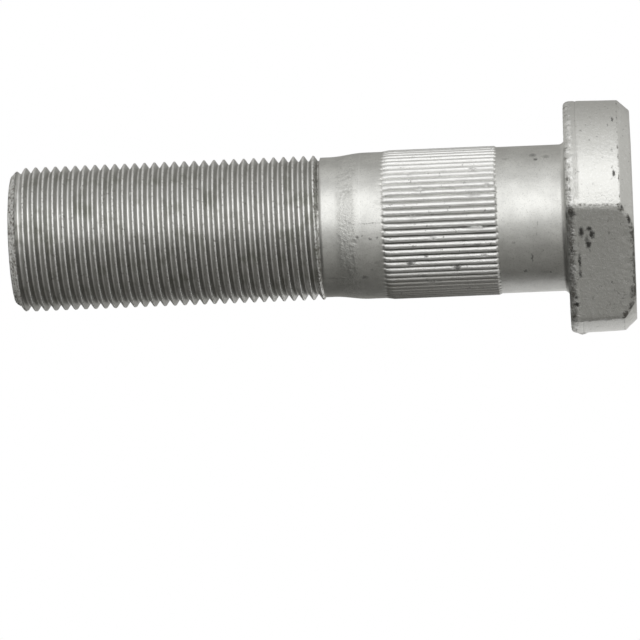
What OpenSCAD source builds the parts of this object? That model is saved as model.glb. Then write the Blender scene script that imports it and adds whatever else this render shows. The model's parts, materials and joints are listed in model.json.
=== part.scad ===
// Press-in threaded stud: a round head with one flat side, a knurled seat and a fine thread.
// Millimetres. The stud stands on its head: the axis is +Z, the origin is the centre of the
// head's outer face, and the head's flat side faces -Y.

/* [Head] */
// Diameter of the head beside its bearing face
head_d = 35; // [31:0.1:42]
// Thickness of the head, from outer face to bearing face
head_h = 10; // [7:0.1:14]
// Draft of the forged side, which narrows towards the outer face
head_draft_deg = 1.3; // [0:0.1:4]
// How far the outer edge's chamfer cuts in from the side
chamfer_w = 1.6; // [0.5:0.1:3]
// How far the outer edge's chamfer reaches along the axis
chamfer_h = 1.8; // [0.5:0.1:3]
// How far the worn edge beside the bearing face cuts in from the side
edge_bevel_w = 0.5; // [0.2:0.1:1.5]
// How far the worn edge beside the bearing face reaches along the axis
edge_bevel_h = 0.9; // [0.2:0.1:1.5]
// Distance from the axis to the head's flat side
flat_offset = 14.4; // [13:0.1:16.5]

/* [Shank] */
// Diameter of the plain shank
shank_d = 22; // [19:0.1:24]
// Plain length between the bearing face and the knurl
seat_l = 10.3; // [4:0.1:20]
// Plain length between the knurl and the cone that leads down to the neck
lead_l = 4.2; // [1:0.1:15]
// Radius of the fillet under the head
fillet_r = 0.8; // [0.3:0.1:1]

/* [Knurl] */
// Length of the knurl
knurl_l = 17.1; // [8:0.1:30]
// Number of ridges round the shank
ridge_count = 68; // [40:1:84]
// Height of the ridges above the shank
ridge_rise = 0.19; // [0.1:0.01:0.3]
// Depth of the grooves below the shank
groove_sink = 0.18; // [0.1:0.01:0.3]
// Share of each pitch that is the top of the ridge
ridge_top_share = 0.36; // [0.2:0.01:0.5]
// Share of each pitch that is the floor of the groove
groove_floor_share = 0.08; // [0.04:0.01:0.2]
// Length over which a ridge rises out of the shank at either end
ridge_ramp_l = 1.2; // [0.6:0.1:2.5]

/* [Thread] */
// Nominal thread diameter
thread_d = 22; // [20:0.5:24]
// Thread pitch
thread_pitch = 1.5; // [1:0.25:2.5]
// How far the rolled crests stay below the nominal diameter
crest_allowance = 0.25; // [0.05:0.01:0.3]
// Length of the threaded end
thread_l = 46.6; // [20:0.1:80]
// Chamfer round the threaded end, along and across the axis
end_chamfer = 1.1; // [0.4:0.1:2]
// Bare length between the thread and the cone
neck_l = 3; // [1:0.1:10]
// Length of the cone from the neck up to the shank
cone_l = 2.1; // [0.8:0.1:6]

/* [Hidden] */

// Facets of the preview; the surfaces themselves are true circles
$fn = 128;

// A thread is rolled on a blank of about its pitch diameter, which the neck keeps
BLANK_SHARE_OF_PITCH = 0.6495;

head_r = head_d / 2;
shank_r = shank_d / 2;
neck_r = (thread_d - BLANK_SHARE_OF_PITCH * thread_pitch) / 2;
crest_r = (thread_d - crest_allowance) / 2;
run_out_l = thread_pitch / 2;

ridge_r = shank_r + ridge_rise;
groove_r = shank_r - groove_sink;
pitch_deg = 360 / ridge_count;
ramp_slope = ridge_rise / ridge_ramp_l;

bearing_z = head_h;
knurl_z0 = bearing_z + seat_l;
knurl_z1 = knurl_z0 + knurl_l;
cone_z0 = knurl_z1 + lead_l;
neck_z0 = cone_z0 + cone_l;
thread_z0 = neck_z0 + neck_l;
tip_z = thread_z0 + thread_l;

// The knurl's core is turned down inside the ridges, so that they stand on sloping shoulders
core_r = groove_r - 4 * groove_sink;
shoulder_l = (shank_r - core_r) * ridge_ramp_l / groove_sink / 2;

// Lets the cutter run past the faces that it cuts
past = 1;

function polar(r, deg) = [r * cos(deg), r * sin(deg)];

// Radius of the head's drafted side at a height above the outer face
function side_r(z) = head_r - (bearing_z - z) * tan(head_draft_deg);

// Half section of the forged head
module head_section() {
    side_top = bearing_z - edge_bevel_h;
    polygon([
        [0, 0],
        [side_r(0) - chamfer_w, 0],
        [side_r(chamfer_h), chamfer_h],
        [side_r(side_top), side_top],
        [head_r - edge_bevel_w, bearing_z],
        [0, bearing_z],
    ]);
}

// Half section of everything above the bearing face, without the knurl's ridges
module shank_section() {
    polygon([
        [0, bearing_z - past],
        [shank_r, bearing_z - past],
        [shank_r, knurl_z0],
        [core_r, knurl_z0 + shoulder_l],
        [core_r, knurl_z1 - shoulder_l],
        [shank_r, knurl_z1],
        [shank_r, cone_z0],
        [neck_r, neck_z0],
        [neck_r, thread_z0],
        [crest_r, thread_z0 + run_out_l],
        [crest_r, tip_z - end_chamfer],
        [crest_r - end_chamfer, tip_z],
        [0, tip_z],
    ]);
}

// Concave ring that joins the shank to the bearing face
module fillet_section() {
    difference() {
        translate([shank_r - past, bearing_z - past]) square(fillet_r + past);
        translate([shank_r + fillet_r, bearing_z + fillet_r]) circle(fillet_r);
    }
}

// Head with its flat side
module head() {
    difference() {
        rotate_extrude() head_section();
        translate([-head_r - past, -head_r - 2 * past, -past])
            cube([head_d + 2 * past, head_r + 2 * past - flat_offset, head_h + 2 * past]);
    }
}

// Star-shaped section of the knurl: flat floors, straight flanks and ridge tops
module knurl_star() {
    half_top = pitch_deg * ridge_top_share / 2;
    half_foot = pitch_deg * (1 - groove_floor_share) / 2;
    polygon([
        for (i = [0:ridge_count - 1], corner = [
            [groove_r, -half_foot],
            [ridge_r + past, -half_top],
            [ridge_r + past, half_top],
            [groove_r, half_foot],
        ])
            polar(corner[0], i * pitch_deg + corner[1])
    ]);
}

module knurl() {
    intersection() {
        translate([0, 0, knurl_z0]) linear_extrude(knurl_l) knurl_star();
        rotate_extrude() polygon([
            [0, knurl_z0],
            [shank_r, knurl_z0],
            [ridge_r, knurl_z0 + ridge_ramp_l],
            [ridge_r, knurl_z1 - ridge_ramp_l],
            [shank_r, knurl_z1],
            [0, knurl_z1],
        ]);
    }
}

module stud() {
    color("silver") {
        head();
        rotate_extrude() shank_section();
        rotate_extrude() fillet_section();
        knurl();
    }
}

stud();
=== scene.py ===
"""Threaded stud: a forged and coated press-in stud with a rolled knurl and thread, in a small studio."""

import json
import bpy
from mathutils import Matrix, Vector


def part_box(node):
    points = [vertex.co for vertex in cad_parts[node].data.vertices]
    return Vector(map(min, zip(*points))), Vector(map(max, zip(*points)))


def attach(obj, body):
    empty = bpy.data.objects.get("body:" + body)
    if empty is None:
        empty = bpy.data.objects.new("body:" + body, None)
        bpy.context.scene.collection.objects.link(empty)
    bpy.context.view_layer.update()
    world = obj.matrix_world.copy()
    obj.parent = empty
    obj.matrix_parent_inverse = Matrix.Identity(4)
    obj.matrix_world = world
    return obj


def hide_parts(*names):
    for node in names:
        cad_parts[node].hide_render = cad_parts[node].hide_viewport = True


bl_info = {
    "name": "Threaded Stud",
    "version": (1, 0, 0),
    "blender": (4, 5, 0),
    "location": "3D View > Sidebar > Stud",
    "description": "Models a coated press-in stud with a rolled knurl and thread, and a studio for it",
    "category": "Add Mesh",
}

from math import atan2, cos, hypot, inf, pi, radians, sin, tan

import bmesh
import bpy
from bpy.props import FloatProperty, FloatVectorProperty, IntProperty, PointerProperty
from bpy.types import Operator, Panel, PropertyGroup
from mathutils import Matrix, Vector, noise

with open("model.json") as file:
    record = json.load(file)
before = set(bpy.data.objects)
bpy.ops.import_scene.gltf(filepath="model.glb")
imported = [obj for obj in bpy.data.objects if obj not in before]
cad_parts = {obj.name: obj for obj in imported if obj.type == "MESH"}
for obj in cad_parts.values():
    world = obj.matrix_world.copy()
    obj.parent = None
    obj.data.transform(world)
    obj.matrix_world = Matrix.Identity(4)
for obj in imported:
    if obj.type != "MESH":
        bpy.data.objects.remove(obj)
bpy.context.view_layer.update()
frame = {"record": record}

# Meshes are modelled in millimetres and scaled to metres when they are done
MM = 0.001


def mount(name):
    """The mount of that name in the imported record."""
    return next(m for m in frame["record"]["mounts"] if m["name"] == name)


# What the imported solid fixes, in millimetres: heights are above the head's outer face
HIGHEST = Vector(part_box("stud")[1]) / MM
TIP_Z = HIGHEST.z
HEAD_R = HIGHEST.y
HEAD_H = mount("bearing_face")["pos_m"][2] / MM
FLAT_REACH = -mount("flat_side")["pos_m"][1] / MM
CREST_R = mount("thread")["dims"]["r_mm"]
THREAD_WALL_L = mount("thread")["dims"]["length_mm"]
THREAD_MID_Z = mount("thread")["pos_m"][2] / MM
RIDGE_R = mount("knurl")["dims"]["r_mm"]
KNURL_L = mount("knurl")["dims"]["length_mm"]
KNURL_Z0 = mount("knurl")["pos_m"][2] / MM - KNURL_L / 2
KNURL_Z1 = KNURL_Z0 + KNURL_L
TIP_CHAMFER = TIP_Z - THREAD_MID_Z - THREAD_WALL_L / 2

# Smaller than any distance in the mesh, in millimetres
TINY = 1e-6


class StudSizes(PropertyGroup):
    """Sizes of the stud that the solid's box and mounts don't give"""

    shank_radius: FloatProperty(
        name="Shank radius", description="Radius of the plain shank",
        default=0.011, min=0.009, max=0.012, unit="LENGTH", precision=5)
    neck_radius: FloatProperty(
        name="Neck radius", description="Radius of the bare neck beside the thread",
        default=0.010513, min=0.009, max=0.011, unit="LENGTH", precision=5)
    fillet: FloatProperty(
        name="Fillet", description="Radius of the fillet under the head",
        default=0.0008, min=0.0003, max=0.001, unit="LENGTH", precision=5)
    cone_start: FloatProperty(
        name="Cone start", description="Plain length between the knurl and the cone",
        default=0.0042, min=0.001, max=0.015, unit="LENGTH", precision=5)
    cone_length: FloatProperty(
        name="Cone length", description="Length of the cone between shank and neck",
        default=0.0021, min=0.0008, max=0.006, unit="LENGTH", precision=5)
    neck_length: FloatProperty(
        name="Neck length", description="Bare length between the cone and the thread",
        default=0.003, min=0.001, max=0.01, unit="LENGTH", precision=5)
    draft: FloatProperty(
        name="Draft", description="Draft of the head's side",
        default=radians(1.3), min=0.0, max=radians(4), subtype="ANGLE")
    chamfer_width: FloatProperty(
        name="Chamfer width", description="How far the outer chamfer cuts in from the side",
        default=0.0016, min=0.0005, max=0.003, unit="LENGTH", precision=5)
    chamfer_height: FloatProperty(
        name="Chamfer height", description="How far the outer chamfer reaches along the axis",
        default=0.0018, min=0.0005, max=0.003, unit="LENGTH", precision=5)
    ridges: IntProperty(
        name="Ridges", description="Ridges of the knurl round the shank",
        default=68, min=40, max=84)
    groove_sink: FloatProperty(
        name="Groove depth", description="Depth of the knurl's grooves below the shank",
        default=0.00018, min=0.0001, max=0.0003, unit="LENGTH", precision=5)
    pitch: FloatProperty(
        name="Pitch", description="Pitch of the right-hand thread",
        default=0.0015, min=0.001, max=0.0025, unit="LENGTH", precision=5)
    thread_depth: FloatProperty(
        name="Thread depth", description="Depth of the thread from crest to root",
        default=0.00086, min=0.0005, max=0.0015, unit="LENGTH", precision=5)
    thread_turn: FloatProperty(
        name="Thread turn", description="Turns the whole helix about the axis",
        default=radians(-24), min=-pi, max=pi, subtype="ANGLE")


class StudFinish(PropertyGroup):
    """Colours of the stud's coating"""

    coating: FloatVectorProperty(
        name="Coating", description="Colour of the flake coating",
        default=(0.62, 0.62, 0.6), min=0.0, max=1.0, subtype="COLOR")
    # This colour also paints the highlights on the thread's roots and on the lip's beads
    bare: FloatVectorProperty(
        name="Worn", description="Colour where the coating is rubbed bright",
        default=(0.8, 0.8, 0.79), min=0.0, max=1.0, subtype="COLOR")
    # This colour also paints the shade in the knurl's grooves
    dark: FloatVectorProperty(
        name="Missed", description="Colour of pits and runs that the coating missed",
        default=(0.05, 0.05, 0.045), min=0.0, max=1.0, subtype="COLOR")
    # This colour also paints a brownish shade on one side of the knurl
    residue_and_shade: FloatVectorProperty(
        name="Residue", description="Colour of the brown residue in the thread, the knurl and along edges",
        default=(0.11, 0.1, 0.08), min=0.0, max=1.0, subtype="COLOR")
    stain: FloatVectorProperty(
        name="Stain", description="Colour of the greenish oil film in the thread",
        default=(0.2, 0.21, 0.16), min=0.0, max=1.0, subtype="COLOR")


def mm(length):
    """A property's length in millimetres."""
    return length / MM


def cone_z(s):
    """Height at which the cone leaves the shank."""
    return KNURL_Z1 + mm(s.cone_start)


def neck_z(s):
    """Height at which the cone ends in the neck."""
    return cone_z(s) + mm(s.cone_length)


def thread_z(s):
    """Height at which the thread begins."""
    return neck_z(s) + mm(s.neck_length)


def soft_min(a, b, width):
    """The smaller of two numbers, blended where they differ by less than width."""
    near = max(width - abs(a - b), 0.0) / width
    return min(a, b) - near * near * width / 4


def smooth(x, start, end):
    """0 up to start, 1 from end on, and a smooth step between them; end may be the lower one."""
    t = min(max((x - start) / (end - start), 0.0), 1.0)
    return t * t * (3 - 2 * t)


def run(bm, points):
    """A run of edges through (radius, height) points, in the half plane of +X."""
    verts = [bm.verts.new((r, 0, z)) for r, z in points]
    edges = [bm.edges.new(pair) for pair in zip(verts, verts[1:])]
    return verts + edges


def turned(bm, geom, steps, angle=2 * pi, rise=0.0):
    """Spins geometry about Z and returns the geometry at the end of the turn."""
    made = bmesh.ops.spin(
        bm, geom=geom, cent=(0, 0, 0), axis=(0, 0, 1), dvec=(0, 0, rise / steps),
        angle=angle, steps=steps)
    return made["geom_last"]


def repeated(bm, copies, angle, rise=0.0):
    """Adds copies of the whole mesh, each turned and lifted from the one before it."""
    bmesh.ops.spin(
        bm, geom=bm.verts[:] + bm.edges[:] + bm.faces[:], cent=(0, 0, 0), axis=(0, 0, 1), dvec=(0, 0, rise),
        angle=angle * copies, steps=copies, use_duplicate=True)


def rotated(bm, angle):
    """Turns the whole mesh about Z."""
    bmesh.ops.rotate(
        bm, verts=bm.verts, cent=(0, 0, 0), matrix=Matrix.Rotation(angle, 3, "Z"))


def weld(bm, distance=1e-4):
    """Joins the points that meet where a turn or its copies close."""
    bmesh.ops.remove_doubles(bm, verts=bm.verts, dist=distance)


def recalculate(bm):
    """Turns all faces outwards."""
    bmesh.ops.recalc_face_normals(bm, faces=bm.faces)


def spread(start, end, count):
    """Points on a straight line from start up to, but without, end."""
    return [
        tuple(a + (b - a) * i / count for a, b in zip(start, end)) for i in range(count)]


def polyline(*stretches):
    """Points along (corner, count) stretches, each split evenly up to the next corner."""
    points = []
    for (corner, count), (following, _) in zip(stretches, stretches[1:]):
        points += spread(corner, following, count)
    return points + [stretches[-1][0]]


def arc(centre, radius, start_deg, end_deg, count):
    """Points of an arc in the half plane, both ends included."""
    return [
        (centre[0] + radius * cos(radians(a)), centre[1] + radius * sin(radians(a)))
        for a in (start_deg + (end_deg - start_deg) * i / count for i in range(count + 1))]


def polar(co):
    """Radius, angle from the middle of the flat side, and height of a point."""
    return hypot(co.x, co.y), atan2(co.x, -co.y), co.z


def set_polar(vert, radius, angle):
    """Moves a vertex to a radius and an angle round the axis, from the flat side."""
    vert.co.x = radius * sin(angle)
    vert.co.y = -radius * cos(angle)


# Head: how finely it is divided round the axis, most finely at the corners of the flat side
FLAT_HALF_CHORD = (HEAD_R ** 2 - FLAT_REACH ** 2) ** 0.5
FLAT_HALF_ANGLE = atan2(FLAT_HALF_CHORD, FLAT_REACH)
CORNER_HALF_SPAN = radians(2.2)
CORNER_STEPS = 14
FLAT_STEPS = 84
ROUND_STEPS = 300

# Head: its softened outer edges, and the bevel beside the bearing face
EDGE_SOFTNESS = 0.12
EDGE_SOFT_R = EDGE_SOFTNESS * 0.6
EDGE_SOFT_Z = EDGE_SOFTNESS * 0.7
RIM_RING_W = 1.5
BEVEL_W = 0.5
BEVEL_H = 0.9
BEVEL_END_R = HEAD_R - BEVEL_W * 1.1
# How far outside the fillet the head's mesh meets the shank's, at the seam
SEAM_GAP = 0.5

# Flat side: its corners are a little round, and its two ends are worn in
FLAT_CORNER_SOFTNESS = 0.36
FLAT_CUTS_TO = radians(70)
TOP_WEAR = 0.35
TOP_WEAR_H = 0.8
FOOT_WEAR = 0.22
FOOT_WEAR_H = 0.5
WEAR_CURVE = 1.5
# How much lower the round side lies at one corner, how far round, and how far the corner comes in
CORNER_WEAR = 0.28
CORNER_WEAR_END = radians(62)
CORNER_SHIFT = 0.48

# Forged and coated head: how fine its unevenness is, and how deep in millimetres
FORGED_FROM_R = FLAT_REACH - 2
BROAD_SCALE = 0.22
BROAD_DEPTH = 0.04
FINE_SCALE = 1.1
FINE_OFFSET = Vector((7, 3, 1))
FINE_DEPTH = 0.02
FINE_DEPTH_NEAR_EDGES = 0.11

# The shallow line that the forging die left beside the bearing face
DIE_LINE_Z = HEAD_H - 1.85
DIE_LINE_DEPTH = 0.1
DIE_LINE_HALF_WIDTH = 0.24
DIE_LINE_DIVIDED = 0.2
DIE_LINE_FADE = radians(4)

# A drip of coating that hardened on the head's side: where, how high, and its radius at foot and top
DRIP_ANGLE = radians(-61)
DRIP_AT = Vector((HEAD_R * sin(DRIP_ANGLE), -HEAD_R * cos(DRIP_ANGLE), HEAD_H - 1.7))
DRIP_RISE = 0.32
DRIP_FOOT_R = 0.85
DRIP_TOP_R = 0.1


def side_radius(s, z):
    """Radius of the head's drafted side at a height."""
    return HEAD_R - (HEAD_H - z) * tan(s.draft)


def rim_radius(s):
    """Radius of the outer face, inside its chamfer."""
    return side_radius(s, 0) - mm(s.chamfer_width)


def seam_radius(s):
    """Radius of the ring on the bearing face where the head's mesh ends."""
    return mm(s.shank_radius + s.fillet) + SEAM_GAP


def head_points(s):
    """Half section of the head, from the middle of its outer face to the seam."""
    def on_side(z):
        return side_radius(s, z), z
    chamfer_h = mm(s.chamfer_height)
    rim_r = rim_radius(s)
    bevel_z = HEAD_H - BEVEL_H
    return polyline(
        ((0, 0), 4),
        ((rim_r - RIM_RING_W, 0), 4),
        ((rim_r - EDGE_SOFTNESS, 0), 2),
        ((rim_r + EDGE_SOFT_R, EDGE_SOFT_Z), 5),
        ((side_radius(s, chamfer_h) - EDGE_SOFT_R, chamfer_h - EDGE_SOFT_Z), 2),
        (on_side(chamfer_h + EDGE_SOFTNESS), 20),
        (on_side(DIE_LINE_Z - DIE_LINE_DIVIDED), 4),
        (on_side(DIE_LINE_Z + DIE_LINE_DIVIDED), 2),
        (on_side(bevel_z), 1),
        ((HEAD_R - BEVEL_W * 0.25, bevel_z + BEVEL_H * 0.45), 1),
        ((HEAD_R - BEVEL_W * 0.6, bevel_z + BEVEL_H * 0.8), 1),
        ((BEVEL_END_R, HEAD_H), 5),
        ((seam_radius(s), HEAD_H), 1),
    )


def flat_reach(z):
    """How far the flat side lies from the axis at a height, less where its ends are worn round."""
    worn_top = TOP_WEAR * smooth(z, HEAD_H - TOP_WEAR_H, HEAD_H) ** WEAR_CURVE
    worn_foot = FOOT_WEAR * smooth(z, FOOT_WEAR_H, 0.0) ** WEAR_CURVE
    return FLAT_REACH - worn_top - worn_foot


def clipped(radius, angle, z):
    """Radius of the head's outline where one corner is worn and the flat side cuts it."""
    if abs(angle) > FLAT_CUTS_TO:
        return radius
    if angle > 0:
        radius -= CORNER_WEAR * smooth(angle, CORNER_WEAR_END, FLAT_HALF_ANGLE)
    return soft_min(radius, flat_reach(z) / cos(angle), FLAT_CORNER_SOFTNESS)


def cut_flat(bm, s):
    """Moves the head's rings in to the flat side, and keeps the rings of its faces in proportion."""
    rim_r = rim_radius(s) - EDGE_SOFTNESS
    seam_r = seam_radius(s)
    for v in bm.verts:
        r, angle, z = polar(v.co)
        if r < TINY:
            continue
        if z < TINY:
            r *= clipped(rim_r, angle, 0) / rim_r
        elif z > HEAD_H - TINY:
            share = (r - seam_r) / (BEVEL_END_R - seam_r)
            r = seam_r + share * (clipped(BEVEL_END_R, angle, z) - seam_r)
        else:
            r = clipped(r, angle, z)
        set_polar(v, r, angle)


def forge_depth(co, angle):
    """How far the forged and coated head lies below its plain shape at a point."""
    near_edge = max(smooth(co.z, 2.6, 0.6), smooth(co.z, HEAD_H - 1.8, HEAD_H - 0.8))
    broad = 0.5 + 0.5 * noise.noise(co * BROAD_SCALE)
    fine = 0.5 + 0.5 * noise.noise(co * FINE_SCALE + FINE_OFFSET)
    depth = BROAD_DEPTH * broad + (FINE_DEPTH + FINE_DEPTH_NEAR_EDGES * near_edge) * fine
    depth -= DRIP_RISE * smooth((co - DRIP_AT).length, DRIP_FOOT_R, DRIP_TOP_R)
    on_round = smooth(abs(angle), FLAT_HALF_ANGLE, FLAT_HALF_ANGLE + DIE_LINE_FADE)
    in_line = max(0.0, 1 - abs(co.z - DIE_LINE_Z) / DIE_LINE_HALF_WIDTH)
    return depth + DIE_LINE_DEPTH * on_round * in_line


def forge_marks(bm):
    """Makes the head uneven, only inwards apart from the drip, so that it stays in its size."""
    bm.normal_update()
    for v in bm.verts:
        r, angle, _ = polar(v.co)
        if r < FORGED_FROM_R:
            continue
        v.co -= v.normal * forge_depth(v.co, angle)
        v.co.z = min(max(v.co.z, 0.0), HEAD_H)


def add_head(bm, s):
    """Turns the head's section and cuts its flat side."""
    geom = run(bm, head_points(s))
    # The section starts at +X, a quarter turn ahead of the flat side
    rotated(bm, -FLAT_HALF_ANGLE - CORNER_HALF_SPAN - pi / 2)
    corner_span = 2 * CORNER_HALF_SPAN
    flat_span = 2 * (FLAT_HALF_ANGLE - CORNER_HALF_SPAN)
    round_span = 2 * pi - 2 * corner_span - flat_span
    for span, steps in (
            (corner_span, CORNER_STEPS), (flat_span, FLAT_STEPS),
            (corner_span, CORNER_STEPS), (round_span, ROUND_STEPS)):
        geom = turned(bm, geom, steps, span)
    weld(bm)
    cut_flat(bm, s)
    recalculate(bm)
    forge_marks(bm)


# Knurl: (share of the pitch from the ridge's middle, share of the full height)
RIDGE_SECTION = ((0.0, 0.98), (0.14, 1.0), (0.29, 0.68), (0.43, 0.14), (0.5, 0.0))
COLUMNS_PER_RIDGE = 2 * (len(RIDGE_SECTION) - 1)
# Knurl: the ends of the ridges, which run out past the solid's knurl towards the head
RAMP_NEAR_HEAD = 0.35
RAMP_NEAR_THREAD = 1.2
RIDGE_RUN_OUT = 0.18
RIDGE_END_WANDER = 0.22
# Knurl: how far its flanks wander, as a share of the pitch, and its level, in millimetres
FLANK_WANDER = 0.045
LEVEL_WANDER = 0.022
RIDGE_APART = 3.1
# How far the soft cone runs on into the shank and the neck
CONE_BLEND = 1.5
# Length of the small step between the neck and the thread
STEP_L = 0.1


def shank_points(s):
    """Half section from the seam to the neck beside the thread."""
    shank, fillet = mm(s.shank_radius), mm(s.fillet)
    points = [(shank + fillet + SEAM_GAP * 0.4, HEAD_H)]
    points += arc((shank + fillet, HEAD_H + fillet), fillet, 270, 180, 6)
    points += polyline(
        ((shank, HEAD_H + fillet + 0.4), 6),
        ((shank, KNURL_Z0 - 0.55), 1),
        ((shank, KNURL_Z0 - 0.35), 8),
        ((shank, KNURL_Z0 + RAMP_NEAR_HEAD + 0.2), 11),
        ((shank, KNURL_Z1 - RAMP_NEAR_THREAD - 0.3), 10),
        ((shank, KNURL_Z1 + 0.05), 1),
        ((shank, KNURL_Z1 + 0.3), 3),
        ((shank, cone_z(s) - CONE_BLEND), 9),
        ((shank, neck_z(s) + CONE_BLEND), 3),
        ((shank, thread_z(s) - STEP_L), 1),
    )
    return [(cone_radius(s, r, z), z) for r, z in points]


def cone_radius(s, r, z):
    """Radius of the shank where the long soft cone takes it down to the neck."""
    share = smooth(z, cone_z(s) - CONE_BLEND, neck_z(s) + CONE_BLEND)
    return r - share * mm(s.shank_radius - s.neck_radius)


def ridge_inside(s, ridge, z):
    """0 at a ridge's ends, and 1 where its ramps are over."""
    key = Vector((ridge % s.ridges, 0.5, 0.5)) * 1.7
    wander = RIDGE_END_WANDER * noise.noise(key)
    wander_far = RIDGE_END_WANDER * noise.noise(key + Vector((0, 9, 0)))
    return min(
        (z - KNURL_Z0 + RIDGE_RUN_OUT - wander) / RAMP_NEAR_HEAD,
        (KNURL_Z1 - z - wander_far) / RAMP_NEAR_THREAD)


def ridge_place(s, angle, z):
    """Angle and radius of the knurl's surface, from the nearest column of a ridge."""
    pitch = 2 * pi / s.ridges
    ridge = round(angle / pitch)
    share = angle / pitch - ridge
    way = 1 if share > 0 else -1
    at, height = RIDGE_SECTION[round(abs(share) * COLUMNS_PER_RIDGE)]
    if 0.1 < at < 0.5:
        at += FLANK_WANDER * noise.noise(Vector((ridge * RIDGE_APART, z * 0.55, way * 5.0)))
    angle = (ridge + way * at) * pitch
    shank, sink = mm(s.shank_radius), mm(s.groove_sink)
    rise = RIDGE_R - shank
    inside = ridge_inside(s, ridge, z)
    if inside <= 0:
        return angle, shank
    level = -sink + height * (rise + sink)
    level += LEVEL_WANDER * noise.noise(Vector((ridge * RIDGE_APART, z * 0.45, height)))
    highest = rise * min(inside, 1.0)
    lowest = -3 * sink * inside
    return angle, shank + max(lowest, min(level, highest))


def add_shank(bm, s):
    """Turns the shank's section and rolls the knurl's ridges into it."""
    geom = run(bm, shank_points(s))
    turned(bm, geom, COLUMNS_PER_RIDGE, 2 * pi / s.ridges)
    repeated(bm, s.ridges - 1, 2 * pi / s.ridges)
    weld(bm)
    for v in bm.verts:
        _, angle, z = polar(v.co)
        if KNURL_Z0 - 0.6 < z < KNURL_Z1 + 0.5:
            angle, radius = ridge_place(s, angle, z)
            set_polar(v, radius, angle)


# Thread: (share of the pitch from the crest, share of the depth below the crest)
THREAD_SECTION = (
    (0.0, 0.0), (0.06, 0.006), (0.088, 0.06), (0.43, 0.965), (0.46, 0.994), (0.5, 1.0))
THREAD_STEPS = 112
THREAD_WELD = 2e-3
# Depth of the crests' roughness and of their few deeper nicks, and how far down they reach
CREST_ROUGHNESS = 0.03
CREST_NICK = 0.05
CREST_REACH = 0.25
# The tip's chamfer has a softened edge, and lumps that grow towards the end
TIP_SOFTNESS = 0.15
TIP_LUMPS = 0.22
TIP_LUMPS_FROM = 2.6
TIP_LUMPS_FULL = 0.9
# The tip closes in rings, each this share of the one before
TIP_RINGS = (0.97, 0.8, 0.75, 0.6, 0.5)


def thread_points(s):
    """One pitch of the thread's section, from root to root."""
    pitch, depth = mm(s.pitch), mm(s.thread_depth)
    rising = [(CREST_R - depth * d, -pitch * p) for p, d in reversed(THREAD_SECTION)]
    falling = [(CREST_R - depth * d, pitch * p) for p, d in THREAD_SECTION[1:]]
    return rising + falling


def trim(bm, height, keep_above):
    """Cuts the mesh square across the axis and drops one side."""
    bmesh.ops.bisect_plane(
        bm, geom=bm.verts[:] + bm.edges[:] + bm.faces[:], dist=1e-5, plane_co=(0, 0, height),
        plane_no=(0, 0, 1), clear_inner=keep_above, clear_outer=not keep_above)


def shape_thread(bm):
    """Chamfers the tip and roughens the crests."""
    for v in bm.verts:
        r, angle, z = polar(v.co)
        crest = smooth(r, CREST_R - CREST_REACH, CREST_R)
        r -= crest * CREST_ROUGHNESS * (0.5 + 0.5 * noise.noise(v.co * 1.6))
        r -= crest * CREST_NICK * smooth(noise.noise(v.co * 0.9 + Vector((4, 4, 4))), 0.35, 0.6)
        r = soft_min(r, CREST_R - TIP_CHAMFER + (TIP_Z - z), TIP_SOFTNESS)
        lumpy = smooth(z, TIP_Z - TIP_LUMPS_FROM, TIP_Z - TIP_LUMPS_FULL)
        r -= lumpy * TIP_LUMPS * (0.5 + 0.7 * noise.noise(v.co * 0.9 + Vector((1, 8, 2))))
        set_polar(v, r, angle)


def add_thread(bm, s):
    """Sweeps one pitch of the section up the helix, then finishes both ends."""
    pitch, foot = mm(s.pitch), thread_z(s)
    turns = int((TIP_Z - foot) / pitch) + 3
    geom = run(bm, thread_points(s))
    rotated(bm, s.thread_turn)
    # The helix starts below its foot, and is cut off there and at the tip
    bmesh.ops.translate(bm, verts=bm.verts, vec=(0, 0, foot - 1.5 * pitch))
    turned(bm, geom, THREAD_STEPS, 2 * pi, pitch)
    repeated(bm, turns - 1, 2 * pi, pitch)
    weld(bm, THREAD_WELD)
    trim(bm, foot, True)
    trim(bm, TIP_Z, False)
    shape_thread(bm)


def open_edges(bm, low, high, smallest=0.0, largest=inf):
    """Open edges between two heights and two radii."""
    def inside(v):
        return low < v.co.z < high and smallest < hypot(v.co.x, v.co.y) < largest
    return [e for e in bm.edges if e.is_boundary and all(inside(v) for v in e.verts)]


def close_seams(bm, s):
    """Bridges the head to the shank, and the neck to the thread."""
    foot = thread_z(s)
    for seam in (
            open_edges(bm, HEAD_H - 0.2, HEAD_H + 0.1, mm(s.shank_radius), seam_radius(s) + 0.5),
            open_edges(bm, foot - 2 * STEP_L, foot + STEP_L)):
        bmesh.ops.bridge_loops(bm, edges=seam)


def close_tip(bm):
    """Closes the end of the thread with shrinking rings."""
    edges = open_edges(bm, TIP_Z - 0.01, TIP_Z + 0.01)
    for share in TIP_RINGS:
        made = bmesh.ops.extrude_edge_only(bm, edges=edges)["geom"]
        verts = [g for g in made if isinstance(g, bmesh.types.BMVert)]
        edges = [g for g in made if isinstance(g, bmesh.types.BMEdge) and g.is_boundary]
        bmesh.ops.scale(bm, vec=(share, share, 1), verts=verts)
    bmesh.ops.edgeloop_fill(bm, edges=edges)


def append(bm, add, s):
    """Builds one part of the stud and adds it to the mesh."""
    part = bmesh.new()
    add(part, s)
    shell = bpy.data.meshes.new("shell")
    part.to_mesh(shell)
    part.free()
    bm.from_mesh(shell)
    bpy.data.meshes.remove(shell)


def finished_mesh(bm, name):
    """Scales a mesh from millimetres to metres and makes it a smooth object."""
    recalculate(bm)
    bmesh.ops.scale(bm, vec=(MM, MM, MM), verts=bm.verts)
    mesh = bpy.data.meshes.new(name)
    bm.to_mesh(mesh)
    bm.free()
    for polygon in mesh.polygons:
        polygon.use_smooth = True
    piece = bpy.data.objects.new(name, mesh)
    bpy.context.scene.collection.objects.link(piece)
    return piece


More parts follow.
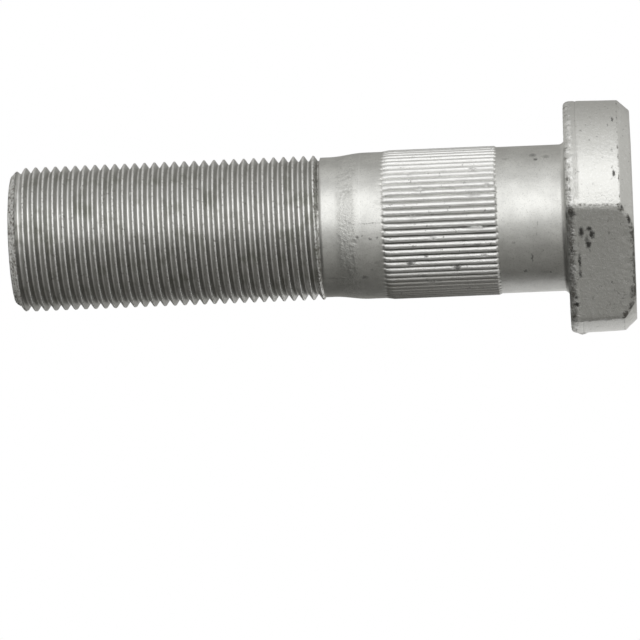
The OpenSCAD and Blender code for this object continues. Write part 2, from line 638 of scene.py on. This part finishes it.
class STUD_OT_add_stud(Operator):
    """Model the stud as one closed mesh in place of the plain solid"""

    bl_idname = "stud.add_stud"
    bl_label = "Add Stud"

    def execute(self, context):
        s = context.scene.stud_sizes
        bm = bmesh.new()
        for add in (add_head, add_shank, add_thread):
            append(bm, add, s)
        close_seams(bm, s)
        close_tip(bm)
        piece = finished_mesh(bm, "stud_body")
        piece.data.materials.append(coating(context.scene.stud_finish, s))
        piece.modifiers.new("Flank normals", "WEIGHTED_NORMAL").weight = 60
        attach(piece, "root")
        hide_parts("stud")
        return {"FINISHED"}


class NodeSheet:
    """Short ways to add and link a material's nodes."""

    def __init__(self, tree):
        self.tree = tree
        tree.nodes.clear()

    def node(self, kind, inputs=None, **settings):
        """A node with its inputs linked or set, and its settings."""
        made = self.tree.nodes.new(kind)
        for name, value in settings.items():
            setattr(made, name, value)
        for key, value in (inputs or {}).items():
            self.feed(made.inputs[key], value)
        return made

    def feed(self, socket, value):
        """Links a socket's output to an input, or sets the input's value."""
        if isinstance(value, bpy.types.NodeSocket):
            self.tree.links.new(value, socket)
        else:
            socket.default_value = value

    def math(self, operation, a, b=0.0, c=0.0):
        """Result of a sum with up to three numbers."""
        return self.node("ShaderNodeMath", {0: a, 1: b, 2: c}, operation=operation).outputs[0]

    def times(self, a, b):
        """Product of two numbers, or what two masks share."""
        return self.math("MULTIPLY", a, b)

    def step(self, value, start, end):
        """Smooth 0 to 1 as value goes from start to end."""
        return self.node(
            "ShaderNodeMapRange", {0: value, 1: start, 2: end},
            interpolation_type="SMOOTHSTEP").outputs[0]

    def band(self, value, low, high, soft):
        """1 between low and high, fading over soft on both sides."""
        return self.times(
            self.step(value, low - soft, low + soft), self.step(value, high + soft, high - soft))

    def noise(self, at, scale, detail, roughness):
        """A number that varies from place to place, mostly between 0.3 and 0.7."""
        return self.node(
            "ShaderNodeTexNoise",
            {"Vector": at, "Scale": scale, "Detail": detail, "Roughness": roughness}).outputs[0]

    def vector(self, operation, *inputs, **named):
        """Vector, or number, that a vector operation gives."""
        made = self.node(
            "ShaderNodeVectorMath", {**dict(enumerate(inputs)), **named}, operation=operation)
        return made.outputs["Value" if operation in ("LENGTH", "DOT_PRODUCT") else "Vector"]

    def mix(self, factor, a, b):
        """Blend of two colours."""
        made = self.node("ShaderNodeMix", data_type="RGBA")
        self.feed(made.inputs[0], factor)
        self.feed(made.inputs[6], a)
        self.feed(made.inputs[7], b)
        return made.outputs[2]

    def blend(self, factor, a, b):
        """Blend of two numbers."""
        return self.node("ShaderNodeMix", {0: factor, 2: a, 3: b}, data_type="FLOAT").outputs[0]

    def shaders(self, factor, a, b):
        """Blend of two shaders' nodes."""
        return self.node("ShaderNodeMixShader", {0: factor, 1: a.outputs[0], 2: b.outputs[0]})


def rgba(colour, share=1.0):
    """A property's colour, made darker or lighter, for a node."""
    return (*(c * share for c in colour), 1.0)


class Place:
    """Where a point of the surface lies, in millimetres, and the unevenness there."""

    def __init__(self, n):
        whole = n.node("ShaderNodeTexCoord").outputs["Object"]
        self.at = n.vector("SCALE", whole, Scale=1 / MM)
        self.x, self.y, self.z = n.node("ShaderNodeSeparateXYZ", {0: self.at}).outputs
        square = n.math("ADD", n.times(self.x, self.x), n.times(self.y, self.y))
        self.radius = n.math("SQRT", square)
        self.towards_flat = n.times(self.y, -1.0)
        self.angle = n.math("ARCTAN2", self.x, self.towards_flat)
        self.cloud = n.noise(self.at, 0.3, 3.0, 0.6)
        self.lumps = n.noise(self.at, 1.15, 5.0, 0.72)
        self.sand = n.noise(self.at, 2.4, 4.0, 0.75)
        self.grain = n.noise(self.at, 5.5, 2.0, 0.6)
        self.on_head = n.step(self.z, HEAD_H + 0.06, HEAD_H - 0.02)
        level = n.step(self.towards_flat, FLAT_REACH - 0.42, FLAT_REACH - 0.18)
        self.on_flat = n.times(self.on_head, level)


class Skin:
    """A finish laid on in layers: colour, metal, roughness, and height in millimetres."""

    def __init__(self, n, colour, roughness):
        self.n = n
        self.colour = colour
        self.roughness = roughness
        self.metal = 1.0
        self.height = 0.0

    def cover(self, mask, colour=None, roughness=None, metal=None):
        """Lays another finish over the skin as far as the mask says."""
        if colour is not None:
            self.colour = self.n.mix(mask, self.colour, colour)
        if roughness is not None:
            self.roughness = self.n.blend(mask, self.roughness, roughness)
        if metal is not None:
            self.metal = self.n.blend(mask, self.metal, metal)

    def raise_by(self, mask, amount):
        """Raises the skin as far as the mask says."""
        self.height = self.n.math("MULTIPLY_ADD", mask, amount, self.height)


def coating_film(n, place, finish):
    """Skin of the dip-spun coating: soft clouds, small mottling and a fine grain."""
    film = n.math("MULTIPLY_ADD", place.lumps, 0.6, place.cloud)
    colour = n.mix(n.step(film, 0.5, 1.1), rgba(finish.coating, 0.9), rgba(finish.coating, 1.12))
    skin = Skin(n, colour, n.math("MULTIPLY_ADD", place.lumps, 0.16, 0.31))
    pores = n.times(n.step(place.grain, 0.52, 0.7), 0.55)
    skin.cover(pores, rgba(finish.coating, 0.66))
    skin.raise_by(place.lumps, 0.02)
    skin.raise_by(place.grain, 0.006)
    return skin


def smudges(n, place, skin, finish):
    """Faint grey rubs and small flecks from handling."""
    drawn_out = n.vector("MULTIPLY", place.at, (1.0, 1.0, 0.45))
    rub = n.step(n.noise(drawn_out, 0.55, 5.0, 0.7), 0.58, 0.72)
    skin.cover(n.times(rub, 0.28), rgba(finish.dark, 3.0))
    fleck = n.step(place.sand, 0.67, 0.75)
    skin.cover(n.times(fleck, 0.5), rgba(finish.dark, 1.5), 0.6)


# Where round the knurl its grooves get the most painted shade, and its ridges a brownish painted shade
KNURL_SHADE_AT = radians(-40)
KNURL_SHADE_WAY = (sin(KNURL_SHADE_AT) / RIDGE_R, -cos(KNURL_SHADE_AT) / RIDGE_R, 0.0)


def knurl_finish(n, place, skin, finish):
    """Bright rolled ridges over grooves darkened with painted shade, most on one side, a brownish painted
    shade on that side, and nicked and dented ridges.
    """
    along = n.band(place.z, KNURL_Z0 + 0.08, KNURL_Z1 - 0.3, 0.22)
    groove = n.times(along, n.step(place.radius, RIDGE_R - 0.18, RIDGE_R - 0.33))
    # Painted shade: the grooves are darkened, strongly on one side round the knurl and hardly at all on the
    # other
    towards_shade = n.vector("DOT_PRODUCT", place.at, KNURL_SHADE_WAY)
    groove_shade = n.math("MULTIPLY_ADD", n.step(towards_shade, -0.1, 0.6), 0.9, 0.04)
    skin.cover(n.times(groove, groove_shade), rgba(finish.dark, 1.5), 0.5)
    land = n.times(along, n.step(place.radius, RIDGE_R - 0.28, RIDGE_R - 0.14))
    skin.cover(land, rgba(finish.bare, 0.98), 0.33)
    dents = marked(n, place, n.times(place.angle, RIDGE_R), KNURL_DENTS)
    dents = n.times(n.times(along, dents), n.step(place.sand, 0.4, 0.54))
    skin.raise_by(dents, -0.08)
    skin.cover(n.times(dents, 0.8), rgba(finish.bare, 1.1), 0.42)
    # Painted shade, tinted brown, over the knurl on the side where its grooves are darkest
    film = n.times(along, n.step(towards_shade, 0.84, 0.97))
    skin.cover(n.times(film, 0.55), rgba(finish.residue_and_shade), 0.5)
    skin.raise_by(along, n.times(place.sand, 0.1))
    nick = n.times(along, n.step(place.lumps, 0.6, 0.68))
    skin.cover(n.times(nick, 0.55), rgba(finish.dark, 2.5), 0.5)


def neck_band(n, place, skin, finish, s):
    """Beaten-looking band where the cone meets the neck, and a pale turning line beside it."""
    band = n.band(place.z, cone_z(s) - 0.5, neck_z(s) + 0.1, 0.55)
    patchy = n.times(band, n.step(place.cloud, 0.34, 0.5))
    skin.raise_by(patchy, n.times(place.sand, 0.1))
    skin.cover(n.times(patchy, n.step(place.sand, 0.45, 0.32)), rgba(finish.coating, 0.72))
    line = n.band(place.z, cone_z(s) - 1.15, cone_z(s) - 0.98, 0.07)
    skin.cover(n.times(line, 0.22), rgba(finish.bare))


def thread_finish(n, place, skin, finish, foot):
    """Flanks darkened as painted shade, roots lightened as a painted highlight, and rubbed crests, with
    grime, nicks and a film of oil.
    """
    on_thread = n.step(place.z, foot, foot + 0.15)
    # Painted shade: the flanks between crest and root are darkened
    flank_shade = n.band(place.radius, CREST_R - 0.76, CREST_R - 0.15, 0.05)
    skin.cover(n.times(on_thread, flank_shade), rgba(finish.coating, 0.8), 0.3)
    # Painted highlight: the roots are lightened to the worn colour
    root = n.times(on_thread, n.step(place.radius, CREST_R - 0.79, CREST_R - 0.84))
    skin.cover(root, rgba(finish.bare), 0.28)
    crest = n.times(on_thread, n.step(place.radius, CREST_R - 0.16, CREST_R - 0.08))
    rubbed = n.times(crest, n.step(place.sand, 0.38, 0.52))
    skin.cover(rubbed, rgba(finish.bare, 1.05), 0.4)
    gap = n.times(crest, n.step(place.sand, 0.4, 0.32))
    skin.cover(n.times(gap, 0.6), rgba(finish.dark, 2.5), 0.6)
    skin.raise_by(crest, n.times(place.sand, 0.07))
    specks = n.times(on_thread, n.step(place.sand, 0.57, 0.68))
    skin.cover(n.times(specks, 0.55), rgba(finish.bare), 0.45)
    grime = n.times(on_thread, n.step(place.lumps, 0.4, 0.32))
    skin.cover(n.times(grime, 0.5), rgba(finish.residue_and_shade), 0.6)
    collar = n.band(place.z, foot - 0.05, foot + 0.75, 0.08)
    clogged = n.times(collar, n.step(place.sand, 0.52, 0.42))
    skin.cover(n.times(clogged, 0.7), rgba(finish.residue_and_shade, 0.9), 0.6)
    nicks = marked(n, place, n.times(place.angle, CREST_R), THREAD_NICKS)
    skin.cover(n.times(on_thread, nicks), rgba(finish.bare, 1.15), 0.5, 0.6)
    oil = n.times(on_thread, n.step(place.cloud, 0.5, 0.7))
    skin.cover(n.times(oil, 0.35), rgba(finish.stain), 0.5)


def tip_finish(n, place, skin, finish):
    """Cut and chamfered end: a thick, lumpy film, matt and pale with dark gaps."""
    past_chamfer = n.math("SUBTRACT", n.math("ADD", place.z, place.radius), CREST_R + TIP_Z)
    end_face = n.step(place.z, TIP_Z - 0.12, TIP_Z - 0.04)
    tip = n.math("MAXIMUM", n.step(past_chamfer, -1.7, -1.2), end_face)
    skin.cover(tip, rgba(finish.coating, 1.15), 0.6, 0.12)
    chamfer = n.times(tip, n.math("SUBTRACT", 1.0, end_face))
    gaps = n.times(chamfer, n.step(place.sand, 0.5, 0.4))
    skin.cover(gaps, rgba(finish.residue_and_shade, 1.3), 0.7)
    knobs = n.times(chamfer, n.step(place.sand, 0.54, 0.64))
    skin.cover(knobs, rgba(finish.bare, 1.1), 0.45)
    skin.raise_by(tip, n.times(place.lumps, n.blend(end_face, 0.8, 0.12)))


def head_finish(n, place, skin, finish):
    """Sandy, thicker coating on the forged head."""
    skin.cover(n.times(place.on_head, 0.8), rgba(finish.coating, 1.16))
    skin.cover(place.on_head, None, n.math("MULTIPLY_ADD", place.sand, 0.18, 0.29))
    skin.raise_by(place.on_head, n.times(place.sand, 0.075))
    pale = n.step(place.sand, 0.52, 0.68)
    skin.cover(n.times(place.on_head, pale), rgba(finish.bare))
    pores = n.times(place.on_head, n.step(place.lumps, 0.4, 0.3))
    skin.cover(n.times(pores, 0.45), rgba(finish.dark, 2.0), 0.6)


def rolled_lip(n, place, skin, finish, on_rim, on_round):
    """Beaded lip round the bearing face, with painted shade that is darker on the flat side and painted
    highlights on its beads, and the thin line that the die left beside it.
    """
    lip = n.times(on_rim, n.step(place.z, HEAD_H - 1.75, HEAD_H - 0.95))
    # Painted shade over the lip, darker on the flat side
    lip_shade = n.times(lip, n.blend(place.on_flat, 0.1, 0.4))
    skin.cover(lip_shade, rgba(finish.coating, 0.45), 0.5)
    beads = n.noise(place.at, 1.2, 4.0, 0.62)
    skin.raise_by(lip, n.times(beads, 0.26))
    # Painted highlights: the highest beads are lightened, more on the round side than on the flat
    bead_highlight_band = n.times(n.band(place.z, HEAD_H - 1.3, HEAD_H - 0.45, 0.15), on_rim)
    pale = n.times(n.step(beads, 0.48, 0.6), n.blend(place.on_flat, 0.9, 0.35))
    skin.cover(n.times(bead_highlight_band, pale), rgba(finish.bare, 1.1))
    line = n.times(n.band(place.z, DIE_LINE_Z - 0.03, DIE_LINE_Z + 0.03, 0.06), on_round)
    skin.cover(n.times(line, 0.5), rgba(finish.coating, 0.55))


def edge_dirt(n, place, skin, finish, on_round):
    """Broken lines of dirt along the head's edges."""
    half_chord = FLAT_HALF_CHORD - CORNER_SHIFT / 2
    across = n.math("ABSOLUTE", n.math("ADD", place.x, CORNER_SHIFT / 2))
    to_side = n.math("SUBTRACT", half_chord - 0.05, across)
    to_rim = n.math("SUBTRACT", HEAD_R - 1.85, n.math("SUBTRACT", place.radius, place.z))
    to_outer = n.math("MINIMUM", place.z, to_rim)
    to_bearing = n.math("SUBTRACT", HEAD_H - 0.85, place.z)
    to_chamfer = n.math("ABSOLUTE", n.math("SUBTRACT", place.z, 1.95))
    # Each edge: distance from it, how far its dirt reaches, how much more there is, and where
    for distance, width, extra, where in (
            (to_side, 0.55, -0.06, place.on_flat), (to_outer, 1.2, 0.1, place.on_flat),
            (to_bearing, 1.15, 0.0, place.on_flat), (to_bearing, 0.3, -0.09, on_round),
            (to_chamfer, 0.35, -0.05, on_round), (place.z, 0.45, 0.0, on_round)):
        away = n.math("MAXIMUM", distance, 0.0)
        reach = n.math("MULTIPLY_ADD", away, -0.3 / width, place.lumps)
        mask = n.times(n.step(reach, 0.4 - extra, 0.6 - extra), where)
        skin.cover(n.times(mask, 0.8), rgba(finish.residue_and_shade, 0.75), 0.65, 0.5)


# Single marks: place round and up the surface, half size each way, in millimetres, and strength.
# Round the surface counts from the middle of the flat side, along the arc or along the flat
SHANK_MARKS = (
    (4.6, 14.25, 0.55, 0.13, 0.65), (3.2, 14.45, 0.45, 0.11, 0.6), (-0.7, 15.25, 0.65, 0.18, 1.0),
    (1.9, 17.85, 0.2, 0.24, 0.7), (0.4, 13.65, 0.2, 0.1, 0.6), (-3.2, 16.35, 0.3, 0.28, 0.9),
    (-3.6, 12.65, 0.2, 0.22, 0.9), (16.9, 14.65, 0.7, 0.6, 0.7), (16.3, 12.75, 0.6, 0.7, 0.6),
    (15.7, 14.25, 0.32, 0.35, 0.9), (16.1, 18.75, 0.4, 0.8, 0.5), (5.7, 39.35, 0.07, 2.0, 0.7),
    (3.7, 41.05, 0.25, 0.25, 0.9), (3.4, 39.15, 0.22, 0.22, 0.8), (3.5, 38.05, 0.25, 0.18, 0.8),
    (3.9, 40.25, 0.16, 0.16, 0.8), (-3.1, 40.35, 0.4, 0.55, 0.8), (-1.7, 39.15, 0.24, 0.4, 0.6),
    (-0.8, 33.35, 0.35, 0.55, 0.9), (-1.9, 26.45, 0.4, 0.45, 0.9), (-3.2, 31.75, 0.3, 1.1, 0.7),
    (0.3, 30.95, 0.2, 0.35, 0.8), (1.9, 23.35, 0.25, 1.0, 0.7), (2.5, 25.25, 0.2, 0.35, 0.7))
KNURL_DENTS = (
    (-0.8, 33.35, 0.35, 0.8, 1.0), (-1.9, 26.45, 0.45, 0.7, 1.0), (10.7, 31.6, 0.5, 0.8, 1.0),
    (9.6, 23.7, 0.45, 1.2, 1.0), (13.6, 33.1, 0.4, 0.5, 0.9), (14.3, 23.6, 0.4, 0.9, 0.8),
    (11.0, 21.5, 0.35, 0.6, 0.9), (4.6, 23.3, 0.35, 1.3, 1.0), (3.2, 29.8, 0.3, 0.6, 0.9),
    (-4.9, 30.1, 0.9, 1.2, 0.8), (0.1, 22.4, 0.3, 0.9, 0.8), (6.6, 32.6, 0.3, 1.2, 0.8))
THREAD_NICKS = (
    (6.24, 79.1, 0.45, 0.13, 1.0), (2.9, 80.4, 0.28, 0.14, 1.0), (4.67, 79.0, 0.3, 0.15, 1.0),
    (4.56, 77.3, 0.26, 0.14, 0.9), (4.9, 85.1, 0.26, 0.14, 0.9), (13.8, 82.3, 0.3, 0.12, 0.9),
    (12.3, 74.8, 0.34, 0.12, 0.9), (8.84, 85.4, 0.3, 0.12, 0.9), (5.1, 87.3, 0.26, 0.12, 0.8))
FLAT_MARKS = (
    (5.1, 7.8, 0.9, 0.38, 1.0), (5.6, 6.63, 0.4, 0.42, 1.0), (5.35, 7.28, 0.2, 0.5, 0.5),
    (4.65, 6.25, 0.75, 0.38, 1.0), (3.0, 6.8, 0.62, 0.42, 1.0), (3.85, 7.03, 0.9, 0.42, 0.7),
    (1.95, 6.63, 0.6, 0.24, 0.5), (0.25, 8.2, 1.4, 0.22, 0.9), (-1.85, 8.2, 0.9, 0.2, 0.8),
    (3.05, 8.33, 0.6, 0.14, 0.5), (1.85, 9.4, 0.35, 0.18, 0.9), (2.45, 9.18, 0.2, 0.15, 0.8),
    (-5.9, 8.9, 0.26, 0.28, 0.9), (-7.05, 8.88, 0.38, 0.42, 1.0), (8.15, 9.08, 0.65, 0.75, 0.75),
    (-3.55, 3.58, 0.24, 0.22, 0.7), (-7.95, 3.48, 0.25, 0.22, 0.5), (-5.35, 0.75, 1.5, 0.36, 0.55),
    (-7.65, 0.95, 0.8, 0.4, 0.6), (6.75, 0.75, 0.7, 0.24, 0.9), (8.95, 1.55, 0.35, 0.3, 0.9))
ROUND_MARKS = (
    (25.5, 2.6, 0.65, 0.16, 0.9), (24.1, 3.35, 0.5, 0.13, 0.6), (15.0, 2.65, 0.55, 0.24, 0.9),
    (16.0, 2.85, 0.36, 0.18, 0.7), (18.9, 2.85, 0.45, 0.15, 0.6), (19.8, 5.95, 0.35, 0.5, 0.3))

# The outline of a mark, in half sizes from its middle: where it begins, and where it is full
MARK_BEGINS = 1.6
MARK_FULL = 0.9
# How far the outline waves, in millimetres
MARK_WAVES = (0.9, 0.9, 0.0)


def marked(n, place, round_way, marks):
    """1 inside any of the marks, with wavy soft edges."""
    here = n.node("ShaderNodeCombineXYZ", {0: round_way, 1: place.z}).outputs[0]
    wavy = n.node(
        "ShaderNodeTexNoise", {"Vector": place.at, "Scale": 2.6, "Detail": 3.0, "Roughness": 0.75})
    wavy = n.vector("SUBTRACT", wavy.outputs["Color"], (0.5, 0.5, 0.5))
    here = n.vector("MULTIPLY_ADD", wavy, MARK_WAVES, here)
    nearest = 9.0
    for across, up, half_across, half_up, strength in marks:
        scale = (1 / half_across, 1 / half_up, 0.0)
        # A weak mark stays this far off its own middle, so it never gets full
        off_middle = 1.75 - 0.9 * strength
        off = n.vector(
            "MULTIPLY_ADD", here, scale, (-across * scale[0], -up * scale[1], off_middle))
        nearest = n.math("MINIMUM", nearest, n.vector("LENGTH", off))
    return n.step(nearest, MARK_BEGINS, MARK_FULL)


def single_marks(n, place, skin, finish, round_side):
    """Scratches and flecks on the shank, pits and missed spots on the head."""
    above = n.step(place.z, HEAD_H + 0.3, HEAD_H + 0.5)
    shank_r = (RIDGE_R + CREST_R) / 2
    for round_way, marks, where, share in (
            (n.times(place.angle, shank_r), SHANK_MARKS, above, 0.7),
            (place.x, FLAT_MARKS, place.on_flat, 0.95),
            (n.times(place.angle, HEAD_R), ROUND_MARKS, round_side, 0.85)):
        mask = n.times(marked(n, place, round_way, marks), where)
        skin.cover(n.times(mask, share), rgba(finish.dark), 0.65, 0.5)


def coating(finish, s):
    """Satin flake coating, laid on in layers."""
    material = bpy.data.materials.new("flake_coating")
    material.use_nodes = True
    n = NodeSheet(material.node_tree)
    place = Place(n)
    rim = n.math("MAXIMUM", n.step(place.radius, HEAD_R - 1.6, HEAD_R - 1.0), place.on_flat)
    on_rim = n.times(place.on_head, rim)
    on_round = n.math("SUBTRACT", on_rim, place.on_flat)
    round_side = n.math("SUBTRACT", place.on_head, place.on_flat)
    skin = coating_film(n, place, finish)
    smudges(n, place, skin, finish)
    knurl_finish(n, place, skin, finish)
    neck_band(n, place, skin, finish, s)
    thread_finish(n, place, skin, finish, thread_z(s))
    tip_finish(n, place, skin, finish)
    head_finish(n, place, skin, finish)
    rolled_lip(n, place, skin, finish, on_rim, on_round)
    edge_dirt(n, place, skin, finish, on_round)
    single_marks(n, place, skin, finish, round_side)
    bump = n.node("ShaderNodeBump", {"Height": skin.height, "Distance": MM})
    shader = n.node(
        "ShaderNodeBsdfPrincipled",
        {"Base Color": skin.colour, "Metallic": skin.metal, "Roughness": skin.roughness,
         "Normal": bump.outputs[0]})
    n.node("ShaderNodeOutputMaterial", {0: shader.outputs[0]})
    return material


# Camera, in millimetres in the stud's frame: it looks across the axis, with the thread to the left
CAMERA_AT = (385.3, -724.6, -0.2)
CAMERA_AIM = (-12.13, -6.76, 47.71)
CAMERA_UP = (0.87304, 0.48598, -0.04033)
CAMERA_LENS = 307.2
SENSOR = 36.0

# The picture's upper edge, and the way back to the camera, in the stud's frame
PICTURE_UP = Vector(CAMERA_UP)
PICTURE_BACK = (Vector(CAMERA_AT) - Vector(CAMERA_AIM)).normalized()


def look(location, aim, up):
    """Placement that looks from location to aim, with the picture's upper edge towards up."""
    back = (Vector(location) - Vector(aim)).normalized()
    right = Vector(up).cross(back).normalized()
    placed = Matrix((right, back.cross(right), back)).transposed().to_4x4()
    placed.translation = Vector(location) * MM
    return placed


def add_camera():
    """Adds the camera and makes it the scene's."""
    data = bpy.data.cameras.new("camera")
    data.lens = CAMERA_LENS
    data.sensor_width = SENSOR
    data.clip_start = 0.05
    data.clip_end = 20.0
    camera = bpy.data.objects.new("camera", data)
    camera.matrix_world = look(CAMERA_AT, CAMERA_AIM, CAMERA_UP)
    bpy.context.scene.collection.objects.link(camera)
    bpy.context.scene.camera = camera


# Lamps: height that they aim at, degrees up from the camera, distance, width, length, brightness
KEY_LAMP = (TIP_Z / 2, 28.0, 700.0, 760.0, 800.0, 0.72)
HEAD_LAMP = (-4.0, -140.0, 70.0, 90.0, 58.0, 0.57)


def add_softbox(name, height, elevation, distance, width, length, brightness):
    """Rectangular soft lamp that aims at the axis."""
    data = bpy.data.lights.new(name, "AREA")
    data.shape = "RECTANGLE"
    data.size = length * MM
    data.size_y = width * MM
    data.energy = brightness * pi * data.size * data.size_y
    lamp = bpy.data.objects.new(name, data)
    turn = radians(elevation)
    direction = PICTURE_BACK * cos(turn) + PICTURE_UP * sin(turn)
    target = Vector((0, 0, height))
    upward = PICTURE_UP * cos(turn) - PICTURE_BACK * sin(turn)
    lamp.matrix_world = look(target + direction * distance, target, upward)
    lamp.visible_camera = False
    bpy.context.scene.collection.objects.link(lamp)


# Surroundings: degrees from the camera's direction towards the picture's upper edge, brightness
SURROUNDINGS = (
    (-180, 0.42), (-165, 0.44), (-150, 0.26), (-130, 0.1), (-105, 0.12),
    (-85, 0.18), (-57, 0.27), (-34, 0.38), (-12, 0.78), (15, 0.95),
    (67, 0.98), (92, 0.78), (112, 0.54), (145, 0.42), (180, 0.36))
# Surroundings past the two ends of the stud: brightness in the picture's lower and upper half
PAST_TIP = (0.05, 0.66)
PAST_HEAD = (0.45, 0.7)


def warm(brightness):
    """Grey of that brightness, the warmer the darker it is."""
    green = brightness * (0.98 + 0.02 * brightness)
    blue = brightness * (0.91 + 0.08 * brightness)
    return (brightness, green, blue, 1)


def light_world():
    """Soft grey surroundings, brighter above and behind, that the camera sees as white."""
    world = bpy.data.worlds.new("studio")
    world.use_nodes = True
    n = NodeSheet(world.node_tree)
    ray = n.node("ShaderNodeTexCoord").outputs["Generated"]
    up, back = (n.vector("DOT_PRODUCT", ray, way) for way in (PICTURE_UP, PICTURE_BACK))
    share = n.math("ADD", n.math("DIVIDE", n.math("ARCTAN2", up, back), 2 * pi), 0.5)
    ramp = n.node("ShaderNodeValToRGB", {0: share})
    ramp.color_ramp.interpolation = "B_SPLINE"
    stops = ramp.color_ramp.elements
    while len(stops) < len(SURROUNDINGS):
        stops.new(0.5)
    for stop, (angle, brightness) in zip(stops, SURROUNDINGS):
        stop.position = angle / 360 + 0.5
        stop.color = warm(brightness)
    along = n.node("ShaderNodeSeparateXYZ", {0: ray}).outputs[2]
    lifted = n.step(up, -0.27, -0.05)
    past_head, past_tip = (n.mix(lifted, *(warm(b) for b in end)) for end in (PAST_HEAD, PAST_TIP))
    past_end = n.mix(n.step(along, -0.1, 0.1), past_head, past_tip)
    towards_end = n.step(n.math("ABSOLUTE", along), 0.25, 0.6)
    brightness = n.mix(towards_end, ramp.outputs[0], past_end)
    grey = n.node("ShaderNodeBackground", {0: brightness})
    white = n.node("ShaderNodeBackground", {0: (1, 1, 1, 1)})
    camera = n.node("ShaderNodeLightPath").outputs["Is Camera Ray"]
    n.node("ShaderNodeOutputWorld", {0: n.shaders(camera, grey, white).outputs[0]})
    bpy.context.scene.world = world


# Floor, in millimetres: just above the head's outer face, so that the two don't coincide
FLOOR_R = 120.0
FLOOR_Z = 0.02
FADE_FROM = 0.45
FADE_TO = 0.95
# Floor: its colour for light and for the camera, and how far the camera sees it lifted to white
FLOOR_GREY = (0.3, 0.3, 0.3)
FLOOR_WHITE = (0.9, 0.9, 0.9)
FLOOR_LIFT = 0.7


def floor_material():
    """Matt white that fades out, and that the camera sees through from below."""
    material = bpy.data.materials.new("floor_white")
    material.use_nodes = True
    n = NodeSheet(material.node_tree)
    away = n.vector("LENGTH", n.node("ShaderNodeTexCoord").outputs["Object"])
    camera = n.node("ShaderNodeLightPath").outputs["Is Camera Ray"]
    underside = n.node("ShaderNodeNewGeometry").outputs["Backfacing"]
    shade = n.mix(camera, rgba(FLOOR_GREY), rgba(FLOOR_WHITE))
    matt = n.node("ShaderNodeBsdfDiffuse", {0: shade})
    lift = n.node("ShaderNodeEmission", {0: (1, 1, 1, 1), 1: n.times(camera, FLOOR_LIFT)})
    near = n.node("ShaderNodeAddShader", {0: matt.outputs[0], 1: lift.outputs[0]})
    white = n.node("ShaderNodeEmission", {0: (1, 1, 1, 1)})
    fade = n.times(n.step(away, FLOOR_R * MM * FADE_FROM, FLOOR_R * MM * FADE_TO), camera)
    above = n.shaders(fade, near, white)
    below = n.node("ShaderNodeBsdfTransparent")
    seen = n.shaders(n.times(underside, camera), above, below)
    n.node("ShaderNodeOutputMaterial", {0: seen.outputs[0]})
    return material


def add_floor():
    """Adds the round floor that the stud stands on."""
    bm = bmesh.new()
    bmesh.ops.create_circle(bm, cap_ends=True, radius=FLOOR_R * MM, segments=96)
    bmesh.ops.translate(bm, verts=bm.verts, vec=(0, 0, FLOOR_Z * MM))
    mesh = bpy.data.meshes.new("floor")
    bm.to_mesh(mesh)
    bm.free()
    floor = bpy.data.objects.new("floor", mesh)
    floor.data.materials.append(floor_material())
    bpy.context.scene.collection.objects.link(floor)
    # The metal reflects the surroundings evenly past the floor
    floor.visible_glossy = False


class STUD_OT_add_studio(Operator):
    """Set the floor, the lamps, the surroundings and the camera round the stud"""

    bl_idname = "stud.add_studio"
    bl_label = "Add Studio"

    def execute(self, context):
        add_floor()
        add_softbox("key", *KEY_LAMP)
        add_softbox("head_rim", *HEAD_LAMP)
        light_world()
        add_camera()
        context.scene.view_settings.view_transform = "Standard"
        return {"FINISHED"}


class STUD_PT_panel(Panel):
    """Sizes, colours and steps of the threaded stud"""

    bl_idname = "STUD_PT_panel"
    bl_label = "Threaded Stud"
    bl_space_type = "VIEW_3D"
    bl_region_type = "UI"
    bl_category = "Stud"

    def draw(self, context):
        for title, group in (("Sizes", context.scene.stud_sizes), ("Finish", context.scene.stud_finish)):
            box = self.layout.box()
            box.label(text=title)
            for name in group.__annotations__:
                box.prop(group, name)
        for operator in (STUD_OT_add_stud, STUD_OT_add_studio):
            self.layout.operator(operator.bl_idname)


CLASSES = (StudSizes, StudFinish, STUD_OT_add_stud, STUD_OT_add_studio, STUD_PT_panel)


def register():
    """Registers the classes and puts the stud's properties on the scene."""
    for cls in CLASSES:
        bpy.utils.register_class(cls)
    bpy.types.Scene.stud_sizes = PointerProperty(type=StudSizes)
    bpy.types.Scene.stud_finish = PointerProperty(type=StudFinish)


def unregister():
    """Takes the properties and the classes away again."""
    del bpy.types.Scene.stud_finish
    del bpy.types.Scene.stud_sizes
    for cls in reversed(CLASSES):
        bpy.utils.unregister_class(cls)


def main():
    """Builds the stud and its studio."""
    register()
    bpy.ops.stud.add_stud()
    bpy.ops.stud.add_studio()


if __name__ == "__main__":
    main()
